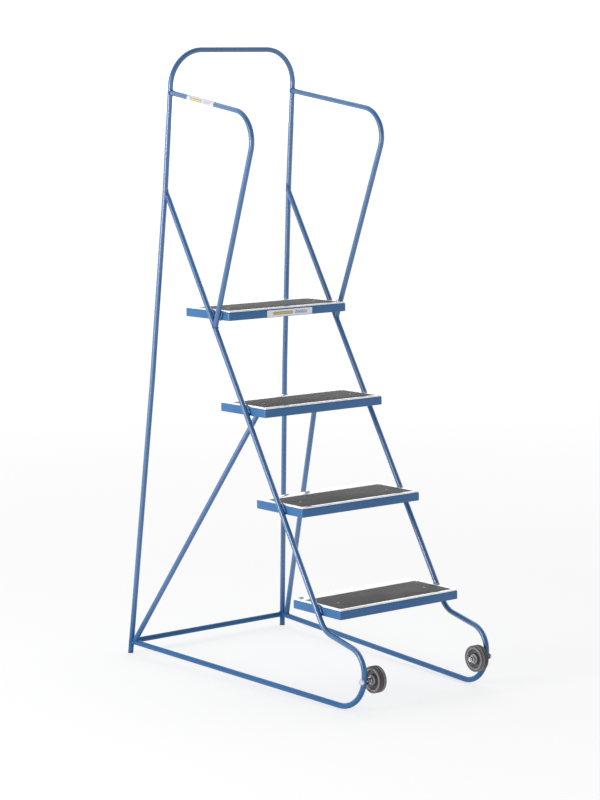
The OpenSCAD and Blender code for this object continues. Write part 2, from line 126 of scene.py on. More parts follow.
class Graph:
    """A short way to write a node tree. Noise is in object space, so its scale is cells in a metre."""

    def __init__(self, name, world=False):
        self.owner = (bpy.data.worlds if world else bpy.data.materials).new(name)
        self.owner.use_nodes = True
        self.tree = self.owner.node_tree
        self.tree.nodes.clear()
        self.out = self.add("ShaderNodeOutputWorld" if world else "ShaderNodeOutputMaterial")

    def add(self, kind, settings=None, **inputs):
        node = self.tree.nodes.new(kind)
        for key, value in (settings or {}).items():
            setattr(node, key, value)
        for key, value in inputs.items():
            self.feed(node.inputs[key.replace("_", " ")], value)
        return node

    def feed(self, socket, value):
        if isinstance(value, bpy.types.NodeSocket):
            self.tree.links.new(value, socket)
        elif isinstance(value, bpy.types.Node):
            self.tree.links.new(value.outputs[0], socket)
        else:
            socket.default_value = value

    def place(self):
        return self.add("ShaderNodeTexCoord").outputs["Object"]

    def noise(self, per_metre, detail=2.0, rough=0.5, stretch=None):
        place = self.place()
        if stretch:
            place = self.add("ShaderNodeMapping", Vector=place, Scale=stretch)
        return self.add("ShaderNodeTexNoise", Vector=place, Scale=per_metre, Detail=detail,
                        Roughness=rough).outputs["Fac"]

    def ramp(self, value, low, high, to_low=0.0, to_high=1.0):
        return self.add("ShaderNodeMapRange", {"clamp": True}, Value=value, From_Min=low, From_Max=high,
                        To_Min=to_low, To_Max=to_high).outputs[0]

    def band(self, value, low, high, soft):
        """1 between low and high, 0 outside."""
        rise = self.ramp(value, low - soft, low + soft)
        fall = self.ramp(value, high - soft, high + soft, 1.0, 0.0)
        return self.math("MULTIPLY", rise, fall)

    def math(self, kind, a, b=0.0):
        node = self.add("ShaderNodeMath", {"operation": kind})
        self.feed(node.inputs[0], a)
        self.feed(node.inputs[1], b)
        return node.outputs[0]

    def along(self, direction, vector=None):
        """How far a vector, or the place on the surface, lies along a direction."""
        vector = vector or self.place()
        node = self.add("ShaderNodeVectorMath", {"operation": "DOT_PRODUCT"}, Vector=vector)
        node.inputs[1].default_value = direction
        return node.outputs["Value"]

    def length(self, vector):
        return self.add("ShaderNodeVectorMath", {"operation": "LENGTH"}, Vector=vector).outputs["Value"]

    def mix(self, fac, a, b):
        node = self.add("ShaderNodeMix", {"data_type": "RGBA"}, Factor=fac)
        self.feed(node.inputs[MIX_A], a)
        self.feed(node.inputs[MIX_B], b)
        return node.outputs[MIX_OUT]

    def bump(self, height, strength, distance, after=None):
        node = self.add("ShaderNodeBump", Height=height, Strength=strength, Distance=distance)
        if after is not None:
            self.feed(node.inputs["Normal"], after)
        return node.outputs[0]

    def output(self, shader):
        """Joins a shader to the output and gives the finished material or world."""
        self.tree.links.new(shader.outputs[0], self.out.inputs[0])
        return self.owner

    def surface(self, **inputs):
        return self.output(self.add("ShaderNodeBsdfPrincipled", **inputs))


def rgb(r, g, b):
    return (r, g, b, 1.0)


def shade(colour, factor):
    return rgb(*(min(1.0, c * factor) for c in colour[:3]))


PAINT = rgb(0.037, 0.134, 0.315)
PAINT_DIRTY_SHADED = rgb(0.015, 0.05, 0.12)
PAINT_RUBBED = rgb(0.1, 0.17, 0.3)
GRIME_SHADE_Z, DULL_Z, FADE_TOP_Z = 30 * MM, 40 * MM, 160 * MM   # dirt, painted shade and dullness fade out up to the last
MARK_DEPTH = 0.12
PEEL_H, GRAIN_H = 0.18 * MM, 0.06 * MM


def powder_coat(name, main, deep, rough, peel_depth=0.005, coat=0.8):
    """Baked powder paint: orange peel about 2 mm across, a finer grain, a slow change of tint and a
    few rubbed marks. Towards the floor it is darker, with dirt and painted shade, and duller."""
    g = Graph(name)
    height = g.along(Z_AXIS)
    cloud = g.noise(45.0, 4.0, 0.6)
    marks = g.math("MULTIPLY", g.ramp(g.noise(160.0, 6.0, 0.7), 0.66, 0.74), MARK_DEPTH)
    # Painted shade: the paint darkens in blotches towards the floor, dirt and painted shade together.
    grime_and_shade = g.math("MULTIPLY", g.ramp(height, GRIME_SHADE_Z, FADE_TOP_Z, 0.12, 0.0),
                   g.ramp(cloud, 0.2, 0.7, 0.7, 1.0))
    colour = g.mix(g.ramp(g.noise(6.0, 3.0), 0.35, 0.65), main, deep)
    colour = g.mix(grime_and_shade, colour, PAINT_DIRTY_SHADED)
    colour = g.mix(marks, colour, PAINT_RUBBED)
    roughness = g.math("ADD", g.ramp(cloud, 0.3, 0.7, rough - 0.04, rough + 0.06), marks)
    peel = g.bump(g.noise(420.0, 1.5), peel_depth, PEEL_H)
    grain = g.bump(g.noise(1700.0, 2.0), 0.012, GRAIN_H, peel)
    return g.surface(Base_Color=colour, Roughness=roughness, Normal=grain,
                     Coat_Weight=g.ramp(height, DULL_Z, FADE_TOP_Z, 0.0, coat),
                     Specular_IOR_Level=g.ramp(height, DULL_Z, FADE_TOP_Z, 0.12, 0.5),
                     Coat_Roughness=0.13, Coat_Normal=peel, IOR=1.5)


def bright_metal(name, tint, rough, lines_per_metre, stretch=None, metallic=1.0):
    """Rolled or plated metal with fine lines, along one direction if stretched, and faint clouding."""
    g = Graph(name)
    lines = g.noise(lines_per_metre, 3.0, 0.6, stretch)
    colour = g.mix(g.ramp(g.noise(60.0, 3.0), 0.35, 0.7), tint, shade(tint, 0.82))
    roughness = g.ramp(lines, 0.3, 0.7, rough * 0.75, rough * 1.4)
    return g.surface(Base_Color=colour, Metallic=metallic, Roughness=roughness,
                     Normal=g.bump(lines, 0.035, 0.04 * MM))


def grit_mat(name):
    """Rubber sheet with grit pressed in: grains of about 0.8 mm, pale specks and rubbed patches."""
    g = Graph(name)
    cells = g.add("ShaderNodeTexVoronoi", Vector=g.place(), Scale=1300.0)
    grit = g.ramp(cells.outputs["Distance"], 0.05, 0.6, 1.0, 0.0)
    fine = g.noise(3200.0, 2.0)
    rubbed = g.ramp(g.noise(16.0, 4.0, 0.6), 0.42, 0.68)
    specks = g.math("MULTIPLY", g.ramp(g.noise(1500.0, 1.0), 0.7, 0.76), 0.35)
    colour = g.mix(rubbed, rgb(0.074, 0.069, 0.067), rgb(0.094, 0.087, 0.084))
    colour = g.mix(specks, colour, rgb(0.3, 0.29, 0.28))
    normal = g.bump(fine, 0.25, 0.1 * MM, g.bump(grit, 0.5, 0.35 * MM))
    roughness = g.ramp(fine, 0.2, 0.8, 0.62, 0.86)
    return g.surface(Base_Color=colour, Roughness=roughness, Normal=normal, IOR=1.45)


def moulded(g, colour, rough):
    """Moulded rubber or plastic: fine spark texture over a colour."""
    roughness = g.ramp(g.noise(700.0, 3.0), 0.3, 0.7, rough - 0.08, rough + 0.1)
    normal = g.bump(g.noise(1400.0, 2.0), 0.15, 0.12 * MM)
    return g.surface(Base_Color=colour, Roughness=roughness, Normal=normal)


def plain_moulding(name, main, pale, rough):
    """Moulded part of one colour, with mottling and pale scuffs."""
    g = Graph(name)
    scuffs = g.math("MULTIPLY", g.ramp(g.noise(260.0, 5.0, 0.7), 0.6, 0.7), 0.25)
    colour = g.mix(g.ramp(g.noise(90.0, 4.0, 0.6), 0.35, 0.68), main, pale)
    return moulded(g, g.mix(scuffs, colour, shade(pale, 2.2)), rough)


def wheel_grey(tone):
    return rgb(tone, tone * 0.93, tone * 1.02)


def wheel_moulding(name, base, rings, belts, rough):
    """Moulded wheel part: rings are (inner radius, outer radius, tone) round the axle and belts are
    (from, to, tone) along it, measured outwards from the middle of the wheel."""
    g = Graph(name)
    flat = g.add("ShaderNodeVectorMath", {"operation": "MULTIPLY_ADD"}, Vector=g.place())
    flat.inputs[1].default_value = (0, 1, 1)
    flat.inputs[2].default_value = (0, -AXLE.y, -AXLE.z)
    radius = g.length(flat)
    outwards = g.math("SUBTRACT", g.math("ABSOLUTE", g.along(X_AXIS)), AXLE.x)
    colour = wheel_grey(base)
    for value, bands in ((radius, rings), (outwards, belts)):
        for low, high, tone in bands:
            colour = g.mix(g.band(value, low, high, 0.3 * MM), colour, wheel_grey(tone))
    mottled = g.ramp(g.noise(110.0, 4.0, 0.6), 0.35, 0.68, 0.85, 1.1)
    scuffs = g.math("MULTIPLY", g.ramp(g.noise(300.0, 5.0, 0.7), 0.58, 0.7), 0.2)
    colour = g.add("ShaderNodeHueSaturation", Color=colour, Value=mottled)
    return moulded(g, g.mix(scuffs, colour, rgb(0.35, 0.35, 0.35)), rough)


# Printed blocks on the labels, as fractions of the label: from and to along it, from and to across it.
FRAME_BLOCK = (0.14, 0.56, 0.28, 0.72)
YELLOW_BLOCK = (0.155, 0.545, 0.36, 0.64)
HATCH_BLOCK = (0.62, 0.88, 0.26, 0.74)
HATCH_LINES, HATCH_SLANT = 46.0, 3.0


def film(name, along, across, ground):
    """Gloss vinyl film with two plain printed blocks. along and across give a direction, where the
    label starts in it and its length."""
    g = Graph(name)
    u, v = [g.ramp(g.along(axis), start, start + length) for axis, start, length in (along, across)]

    def block(u_from, u_to, v_from, v_to):
        return g.math("MULTIPLY", g.band(u, u_from, u_to, 0.004), g.band(v, v_from, v_to, 0.02))

    slant = g.math("ADD", g.math("MULTIPLY", u, HATCH_LINES), g.math("MULTIPLY", v, HATCH_SLANT))
    hatch = g.ramp(g.math("PINGPONG", slant, 1.0), 0.4, 0.6)
    colour = g.mix(g.ramp(g.noise(120.0, 3.0), 0.4, 0.65), ground, shade(ground, 0.88))
    colour = g.mix(block(*FRAME_BLOCK), colour, rgb(0.16, 0.14, 0.06))
    colour = g.mix(block(*YELLOW_BLOCK), colour, rgb(0.62, 0.5, 0.09))
    colour = g.mix(block(*HATCH_BLOCK), colour, g.mix(hatch, rgb(0.3, 0.32, 0.44), rgb(0.55, 0.57, 0.66)))
    return g.surface(Base_Color=colour, Roughness=0.3, Normal=g.bump(g.noise(260.0, 2.0), 0.08, 0.1 * MM),
                     Coat_Weight=0.25, Coat_Roughness=0.12)


tube_paint = powder_coat("tube_paint", PAINT, rgb(0.031, 0.118, 0.285), 0.27)
tread_paint = powder_coat("tread_paint", rgb(0.016, 0.125, 0.33), rgb(0.012, 0.112, 0.3), 0.36,
                          peel_depth=0.1, coat=0.12)
weld_paint = powder_coat("weld_paint", PAINT, rgb(0.024, 0.1, 0.26), 0.26)

# The edging is aluminium but only part metal and near white: its white is a painted reflection of the
# bright studio, so it stays white from every side and mirrors little.
aluminium_painted_reflection = bright_metal("edging_aluminium", rgb(0.98, 0.982, 0.985), 0.05, 500.0,
                         stretch=(0.03, 1.0, 1.0), metallic=0.4)

rivet_metal = bright_metal("rivet_steel", rgb(0.42, 0.42, 0.43), 0.42, 1500.0)
zinc = bright_metal("zinc_steel", rgb(0.8, 0.81, 0.83), 0.24, 1500.0)
mat_rubber = grit_mat("tread_mat")
plug_plastic = plain_moulding("foot_plug", rgb(0.02, 0.02, 0.022), rgb(0.035, 0.035, 0.038), 0.55)

# The tyre's flank is painted paler, partly the rubber's own grey and partly painted light. Across the
# tread, the paler inner half and the pale edges of the groove are painted highlights, and the dark groove
# between them is painted shade.
tyre_rubber = wheel_moulding(
    "wheel_tyre", base=0.042, rings=[(HUB_R - 2 * MM, TYRE_R - 1.6 * MM, 0.14)],
    belts=[(-10 * MM, -3.4 * MM, 0.15), (-3.4 * MM, -1.8 * MM, 0.24), (-1.8 * MM, 1.8 * MM, 0.03),
           (1.8 * MM, 3 * MM, 0.16)], rough=0.5)
# The hub's web, recessed between boss and rim, is painted darker: painted shade in the recess.
hub_plastic = wheel_moulding("wheel_hub", base=0.31, rings=[(13 * MM, HUB_R - 4 * MM, 0.09)], belts=[],
                             rough=0.36)

# ---------------------------------------------------------------- mesh helpers
SHARP_ANGLE = math.radians(38)
BEND_STEP = math.radians(3.0)
SMALLEST_R = 0.001 * MM


def make_object(name, mesh_data, material, body="frame", replaces=None):
    """A smooth piece that rides on a body, and may take a CAD node's place."""
    verts, faces = mesh_data
    mesh = bpy.data.meshes.new(name)
    mesh.from_pydata([tuple(v) for v in verts], [], faces)
    mesh.validate()
    for poly in mesh.polygons:
        poly.use_smooth = True
    mesh.materials.append(material)
    obj = bpy.data.objects.new(name, mesh)
    bpy.context.scene.collection.objects.link(obj)
    tidy_normals(mesh)
    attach(obj, body)
    if replaces:
        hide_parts(replaces)


def tidy_normals(mesh):
    """Outward normals, and a sharp edge wherever two faces meet at more than the sharp angle."""
    bm = bmesh.new()
    bm.from_mesh(mesh)
    bmesh.ops.recalc_face_normals(bm, faces=bm.faces)
    for edge in bm.edges:
        if len(edge.link_faces) == 2:
            edge.smooth = edge.calc_face_angle(0.0) < SHARP_ANGLE
    bm.to_mesh(mesh)
    bm.free()


def circle(centre, side, up, radius, count):
    """Points round a centre, in the plane of side and up."""
    angles = [2 * math.pi * k / count for k in range(count)]
    return [centre + (side * math.cos(a) + up * math.sin(a)) * radius for a in angles]


def skin(rings, closed=False, capped=False):
    """A surface through rings of equal count: closed on itself, or open with or without caps."""
    count = len(rings[0])
    verts = [point for ring in rings for point in ring]
    faces = []
    for i in range(len(rings) if closed else len(rings) - 1):
        a = i * count
        b = (i + 1) % len(rings) * count
        faces += [(a + k, a + (k + 1) % count, b + (k + 1) % count, b + k) for k in range(count)]
    if capped:
        faces.append(tuple(range(count)))
        faces.append(tuple(range(len(verts) - count, len(verts))))
    return verts, faces


def quarter(steps):
    """Sine and cosine at even steps of a quarter turn."""
    angles = [math.radians(90 * k / steps) for k in range(steps + 1)]
    return [(math.sin(a), math.cos(a)) for a in angles]


def fillet_path(points, radii):
    """The centreline of a bent tube: straight legs with an arc at every corner."""
    path = [points[0].copy()]
    for i in range(1, len(points) - 1):
        a = (points[i] - points[i - 1]).normalized()
        b = (points[i + 1] - points[i]).normalized()
        angle = a.angle(b)
        inward = (b - a * a.dot(b)).normalized()
        start = points[i] - a * radii[i] * math.tan(angle / 2)
        centre = start + inward * radii[i]
        count = max(2, int(angle / BEND_STEP) + 1)
        for k in range(count + 1):
            t = angle * k / count
            path.append(centre + (a * math.sin(t) - inward * math.cos(t)) * radii[i])
    path.append(points[-1].copy())
    return path


def frames_along(path, closed=False):
    """Side and up at every point, square to the path and carried along it without twisting."""
    count = len(path)
    tangents = []
    for i in range(count):
        before = path[i - 1] if closed or i > 0 else path[i]
        after = path[(i + 1) % count] if closed or i < count - 1 else path[i]
        tangents.append((after - before).normalized())
    side = tangents[0].orthogonal().normalized()
    out = []
    for tangent in tangents:
        side = (side - tangent * side.dot(tangent)).normalized()
        out.append((side, tangent.cross(side)))
    return out


def landing(start, direction, mate, mate_axis, mate_r):
    """Where a line meets the near side of a tube, or the nearest point of a tube that it misses, and
    the way out of the tube there."""
    offset = start - mate
    offset = offset - mate_axis * offset.dot(mate_axis)
    across = direction - mate_axis * direction.dot(mate_axis)
    a, b, c = across.dot(across), 2 * offset.dot(across), offset.dot(offset) - mate_r ** 2
    under_root = b * b - 4 * a * c
    point = start + direction * ((-b - math.sqrt(max(under_root, 0.0))) / (2 * a))
    away = point - mate
    along = mate_axis * away.dot(mate_axis)
    away = (away - along).normalized()
    if under_root < 0:
        point = mate + along + away * mate_r
    return point, away


def lathe(name, profile, origin, axis, material, body, segments, closed, replaces):
    """Turns (distance along the axis, radius) points about the axis."""
    side = axis.orthogonal().normalized()
    up = axis.cross(side)
    rings = [circle(origin + axis * x, side, up, max(r, SMALLEST_R), segments) for x, r in profile]
    make_object(name, skin(rings, closed), material, body, replaces)


# ---------------------------------------------------------------- bent tubes
TUBE_SIDES = 40
BURY = 2.2 * MM                                 # how far a tube's end goes into the tube it meets
END_SHAPED = 16 * MM                            # the length over which an end is shaped to its mate
END_SUNK = 0.2 * MM
LONG_WAY = 60 * MM                              # back from a joint, to look for it from outside
AXIS_STEP = 100 * MM
BRACE_SHORT = 3 * MM                            # the gap under the sheet that the weld bead fills

UPRIGHT_AXIS = (upright(UPRIGHT_HEIGHTS[1]) - upright(0.0)).normalized()
stringer_top = stringer(STRINGER_TOP_Z)
knee = stringer(KNEE_Z)
nose = at_reach(RAIL_X, LOOP_REACH, NOSE_Z)
floor_corner = at_reach(RAIL_X, LOOP_REACH, FLOOR_Z)
runner_rear = upright(RUNNER_REAR_Z)
rail_top = at_reach(RAIL_X, LEAN * RAIL_REAR_Z, RAIL_REAR_Z)
rail_corner = at_reach(*RAIL_CORNER)
rail_foot = stringer(RAIL_FOOT_Z)
brace_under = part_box("tread_3_tray")[1].z - SHEET
brace_foot = at_reach(*BRACE_FOOT)
brace_head = at_reach(*BRACE_HEAD, brace_under)


def upright_axis(z, side):
    """The direction of an upright just below a height."""
    return (upright(z, side) - upright(z - AXIS_STEP, side)).normalized()


def tube(name, path, node, mate=None, mate_axis=None):
    """A painted tube along a path. With a mate, its first end is shaped to meet that tube."""
    if mate:
        path = [path[0], toward(path[0], path[1], END_SHAPED)] + path[1:]
    rings = [circle(point, side, up, TUBE_R, TUBE_SIDES)
             for point, (side, up) in zip(path, frames_along(path))]
    if mate:
        d = (path[0] - path[1]).normalized()
        rings[0] = [landing(point - d * LONG_WAY, d, mate, mate_axis, TUBE_R - END_SUNK)[0]
                    for point in rings[0]]
    make_object(name, skin(rings, capped=True), tube_paint, replaces=node)


def rear_frame_tube():
    leg = [upright(0.0) + UPRIGHT_AXIS * PLUG_T] + [upright(z) for z in UPRIGHT_HEIGHTS[1:]]
    radii = [0, BOW_R, BOW_R, ARCH_R]
    path = fillet_path(mirror_all(leg, -1) + leg[::-1], radii + radii[::-1])
    tube("rear_uprights_tube", path, "rear_frame")


def side_tube(word, s):
    """Stringer, front loop and runner."""
    corners = [toward(stringer_top, knee, BURY), knee, nose, floor_corner,
               toward(runner_rear, floor_corner, BURY)]
    path = fillet_path(mirror_all(corners, s), [0, KNEE_R, NOSE_R, FLOOR_R, 0])
    tube(word + "_side_tube", path, word + "_side_frame",
         upright(STRINGER_TOP_Z, s), upright_axis(STRINGER_TOP_Z, s))


def handrail_tube(word, s):
    corners = [toward(rail_top, rail_corner, BURY), rail_corner, toward(rail_foot, rail_corner, BURY)]
    path = fillet_path(mirror_all(corners, s), [0, RAIL_R, 0])
    tube(word + "_handrail_tube", path, word + "_handrail")


def brace_tube(word, s):
    ends = [brace_foot, toward(brace_head, brace_foot, BRACE_SHORT)]
    tube(word + "_brace_tube", mirror_all(ends, s), word + "_brace")


def cross_tube():
    end = runner_rear - Vector((BURY, 0, 0))
    tube("rear_cross_tube", [mirror(end, -1), end], "rear_cross_bar")


rear_frame_tube()
for word, s in SIDES:
    side_tube(word, s)
    handrail_tube(word, s)
    brace_tube(word, s)
cross_tube()

# ---------------------------------------------------------------- weld beads
BEAD_R = 1.7 * MM
SLIM_BEAD_R = 1.3 * MM
FLANGE_BEAD_R = 3.0 * MM
BEAD_SIDES = 10
RIPPLE, RIPPLE_PITCH, JITTER = 0.08, 1.9 * MM, 0.04
SWELL, SWELL_PITCH = 0.12, 17 * MM
LARGEST_PHASE = 6.28
END_SIZE = 0.35                                 # an open bead's radius at its ends, as a part of the full
END_PART = 1 / 8                                # the part of its length over which each end thins
# How far a bead's centreline stands off the two surfaces that it joins, in radii of the bead.
OFF_TUBE, OFF_MATE = 0.35, 0.2
OFF_TUBE_UNDER_SHEET, OFF_SHEET = 0.3, 0.4
OFF_FLANGE = 0.75
FLANGE_SUNK = 0.93                              # drawn in from where it would just touch the tube
# A flange bead starts this far above a tray's lower edge and ends this far above its top.
FLANGE_BEAD_START, FLANGE_BEAD_PAST = 1 * MM, 2 * MM
SHELF_OFF = 0.5 * MM                            # off the stringer and above the tray
rng = random.Random(11)


def bead(name, path, closed, radius=BEAD_R):
    """A rippled weld bead along a line of points."""
    phase = rng.uniform(0, LARGEST_PHASE)
    last = len(path) - 1
    rings = []
    length = 0.0
    for i, (point, (side, up)) in enumerate(zip(path, frames_along(path, closed))):
        if i:
            length += (point - path[i - 1]).length
        turns = 2 * math.pi * length
        size = 1 + RIPPLE * math.sin(turns / RIPPLE_PITCH + phase) + rng.uniform(-JITTER, JITTER)
        size *= 1 + SWELL * math.sin(turns / SWELL_PITCH + phase)
        if not closed:
            size *= END_SIZE + (1 - END_SIZE) * min(1.0, min(i, last - i) / last / END_PART)
        rings.append(circle(point, side, up, radius * size, BEAD_SIDES))
    make_object(name, skin(rings, closed, capped=not closed), weld_paint)


def joint_bead(name, tip, direction, mate, mate_axis, radius=BEAD_R, steps=110):
    """Bead round the end of a tube that runs in a direction and lands on the side of another tube."""
    d = direction.normalized()
    side = d.orthogonal().normalized()
    path = []
    for radial in circle(Vector(), side, d.cross(side), 1.0, steps):
        point, away = landing(tip - d * LONG_WAY + radial * TUBE_R, d, mate, mate_axis.normalized(), TUBE_R)
        path.append(point + radial * OFF_TUBE * radius + away * OFF_MATE * radius)
    smooth = [(path[k - 1] + path[k] * 2 + path[(k + 1) % steps]) / 4 for k in range(steps)]
    bead(name, smooth, True, radius)


def sheet_bead(name, axis_point, direction, height, steps=90):
    """Bead round a slanted tube that ends under a level sheet."""
    d = direction.normalized()
    side = d.orthogonal().normalized()
    starts = circle(axis_point, side, d.cross(side), TUBE_R + OFF_TUBE_UNDER_SHEET * BEAD_R, steps)
    bead_z = height - OFF_SHEET * BEAD_R
    bead(name, [start + d * ((bead_z - start.z) / d.z) for start in starts], True)


def flange_beads(name, centre_at, node, side, steps=28):
    """Two beads in the corners between a tray's side flange and the tube that touches it."""
    tray_low, tray_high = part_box(node)
    low, high = centre_at(tray_low.z + FLANGE_BEAD_START), centre_at(tray_high.z + FLANGE_BEAD_PAST)
    d = (high - low).normalized()
    across = Vector((0, -d.z, d.y))
    touching = math.sqrt((TUBE_R + FLANGE_BEAD_R) ** 2 - (TUBE_R - FLANGE_BEAD_R) ** 2)
    offset = touching * FLANGE_SUNK
    for word, sign in (("front", 1), ("back", -1)):
        path = [low.lerp(high, k / (steps - 1)) + across * sign * offset for k in range(steps)]
        for point in path:
            point.x = side * (RAIL_X - TUBE_R + OFF_FLANGE * FLANGE_BEAD_R)
        bead(f"{name}_{word}", path, False, FLANGE_BEAD_R)


def shelf_bead(name, centre, side, steps=16, step=1.25 * MM):
    """A short heavy bead lying along the top of a flange beside a tube."""
    x = side * (RAIL_X - TUBE_R - SHELF_OFF)
    middle = (steps - 1) / 2
    path = [Vector((x, centre.y + (k - middle) * step, centre.z)) for k in range(steps)]
    bead(name, path, False, FLANGE_BEAD_R)


def frame_welds(word, s):
    """Beads where the tubes of one side meet each other and the third tread."""
    stringer_dir = mirror(stringer_top - knee, s)
    rail_foot_dir = mirror(rail_foot - rail_corner, s)
    runner_dir = mirror(runner_rear - floor_corner, s)
    foot = upright(RUNNER_REAR_Z, s)
    foot_axis = mirror(UPRIGHT_AXIS, s)
    joint_bead(word + "_stringer_weld", mirror(stringer_top, s), stringer_dir,
               upright(STRINGER_TOP_Z, s), upright_axis(STRINGER_TOP_Z, s), SLIM_BEAD_R)
    joint_bead(word + "_rail_top_weld", mirror(rail_top, s), mirror(rail_top - rail_corner, s),
               upright(RAIL_REAR_Z, s), upright_axis(RAIL_REAR_Z, s))
    joint_bead(word + "_rail_foot_weld", mirror(rail_foot, s), rail_foot_dir, mirror(rail_foot, s),
               stringer_dir)
    joint_bead(word + "_runner_weld", foot, runner_dir, foot, foot_axis)
    joint_bead(word + "_cross_weld", foot, s * X_AXIS, foot, foot_axis)
    joint_bead(word + "_brace_foot_weld", mirror(brace_foot, s), mirror(brace_foot - brace_head, s),
               foot, runner_dir)
    sheet_bead(word + "_brace_head_weld", mirror(brace_foot, s), mirror(brace_head - brace_foot, s),
               brace_under)


def tread_welds(word, s):
    """Beads where the treads meet the stringer and the top tread meets the handrail."""
    for i in TREADS:
        tray_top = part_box(f"tread_{i}_tray")[1].z
        flange_beads(f"{word}_tread_{i}_weld", lambda z: stringer(z, s), f"tread_{i}_tray", s)
        shelf_bead(f"{word}_tread_{i}_shelf_weld", stringer(tray_top + SHELF_OFF, s), s)
    leg = rail_corner - rail_foot
    flange_beads(word + "_rail_tread_weld",
                 lambda z: mirror(rail_foot + leg * ((z - rail_foot.z) / leg.z), s), "tread_4_tray", s)


for word, s in SIDES:
    frame_welds(word, s)
    tread_welds(word, s)

# ---------------------------------------------------------------- treads
FOLD_R = 3.5 * MM
FOLD_STEPS = 6
CORNER_R = 6 * MM
CORNER_STEPS = 6
SHEET_EDGE = 0.5 * MM
MAT_GAP = 0.25 * MM
EDGING_SOFT = 0.6 * MM
MAT_SOFT = 0.7 * MM
FRONT_RIVET = (54 * MM, 77 * MM)                # in from the tray's side and back from its front
REAR_RIVET = (24 * MM, 148 * MM)
RIVET_HEAD_R, RIVET_TAIL_R, RIVET_SHANK_R = 4 * MM, 3 * MM, 2 * MM
RIVET_SEGMENTS = 32


def corner_points(x0, x1, y0, y1, radius, steps):
    """A rectangle with round corners."""
    corners = ((x1 - radius, y1 - radius), (x0 + radius, y1 - radius),
               (x0 + radius, y0 + radius), (x1 - radius, y0 + radius))
    points = []
    for i, (cx, cy) in enumerate(corners):
        for k in range(steps + 1):
            a = math.radians(90 * (i + k / steps))
            points.append((cx + radius * math.cos(a), cy + radius * math.sin(a)))
    return points


def level_ring(low, high, inset, radius, z):
    """A round-cornered rectangle at a height, inset from a box seen from above."""
    points = corner_points(low.x + inset, high.x - inset, low.y + inset, high.y - inset, radius,
                           CORNER_STEPS)
    return [Vector((x, y, z)) for x, y in points]


def pressed_tray(i):
    """Folded tray with round folds, its sheet thickness showing at the open lower edge."""
    low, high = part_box(f"tread_{i}_tray")
    inside = [(FOLD_R, high.z - SHEET), (SHEET + 0.4 * MM, high.z - SHEET - 0.3 * MM),
              (SHEET, high.z - FOLD_R)]
    lower_edge = [(SHEET, low.z + SHEET_EDGE), (SHEET - SHEET_EDGE, low.z), (SHEET_EDGE, low.z),
                  (0.0, low.z + SHEET_EDGE)]
    fold = [(FOLD_R * (1 - cos), high.z - FOLD_R * (1 - sin)) for sin, cos in quarter(FOLD_STEPS)]
    rings = [level_ring(low, high, d, CORNER_R - d, z) for d, z in inside + lower_edge + fold]
    make_object(f"tread_{i}_pressing", skin(rings, capped=True), tread_paint,
                replaces=f"tread_{i}_tray")


def softened(top, soft):
    """Inset and height down the softened upper edge of a sheet."""
    return [(soft, top), (0.3 * soft, top - 0.3 * soft), (0, top - soft)]


def edging_frame(i):
    """Aluminium frame round the mat, with softened edges."""
    low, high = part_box(f"tread_{i}_edging")
    mat_low, mat_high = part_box(f"tread_{i}_mat")
    edge = softened(high.z, EDGING_SOFT) + [(0, low.z)]
    rings = [level_ring(mat_low, mat_high, -MAT_GAP, FOLD_R, low.z)]
    rings += [level_ring(low, high, d, FOLD_R - d, z) for d, z in edge[::-1]]
    rings += [level_ring(mat_low, mat_high, -MAT_GAP - d, FOLD_R + d, z) for d, z in edge]
    make_object(f"tread_{i}_aluminium", skin(rings), aluminium_painted_reflection,
                replaces=f"tread_{i}_edging")


def grip_mat(i):
    """Mat with a softened upper edge."""
    low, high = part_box(f"tread_{i}_mat")
    edge = softened(high.z, MAT_SOFT) + [(0, low.z)]
    rings = [level_ring(low, high, d, FOLD_R - d, z) for d, z in edge[::-1]]
    make_object(f"tread_{i}_rubber", skin(rings, capped=True), mat_rubber,
                replaces=f"tread_{i}_mat")


def blind_rivets(i):
    """Domed heads with the small dimple left by the mandrel, and the set tail under the sheet."""
    low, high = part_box(f"tread_{i}_tray")
    head_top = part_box(f"tread_{i}_rivets")[1].z
    h = head_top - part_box(f"tread_{i}_mat")[1].z
    under = -h - SHEET
    tail = [(under - 4.2 * MM, 0), (under - 4.2 * MM, 2.6 * MM), (under - 3.4 * MM, RIVET_TAIL_R),
            (under - 3 * MM, RIVET_TAIL_R), (under - 3 * MM, RIVET_SHANK_R), (-h, RIVET_SHANK_R)]
    head = [(-h, RIVET_HEAD_R), (-h + 0.3 * MM, RIVET_HEAD_R)]
    dome = [(0.75, 0.93), (0.4, 0.75), (0.12, 0.5), (0.05, 0.3), (0.25, 0.24), (0.45, 0.2), (0.45, 0)]
    profile = tail + head + [(-down * h, out * RIVET_HEAD_R) for down, out in dome]
    places = [(x, low.y + back) for inset, back in (FRONT_RIVET, REAR_RIVET)
              for x in (low.x + inset, high.x - inset)]
    for number, (x, y) in enumerate(places, 1):
        lathe(f"tread_{i}_rivet_{number}", profile, Vector((x, y, head_top)), Z_AXIS, rivet_metal,
              "frame", RIVET_SEGMENTS, False, f"tread_{i}_rivets")


for i in TREADS:
    pressed_tray(i)
    edging_frame(i)
    grip_mat(i)
    blind_rivets(i)

# ---------------------------------------------------------------- wheels
WHEEL_SEGMENTS = 128
SHOULDER_WIDTH, SHOULDER_DEPTH = 3.2 * MM, 3.4 * MM
SHOULDER_STEPS = 6
BORE_R = 6 * MM
BOSS_R = 13.5 * MM
WEB = 2.5 * MM                                  # half the thickness of the hub's web
HUB_RIM = 3.3 * MM


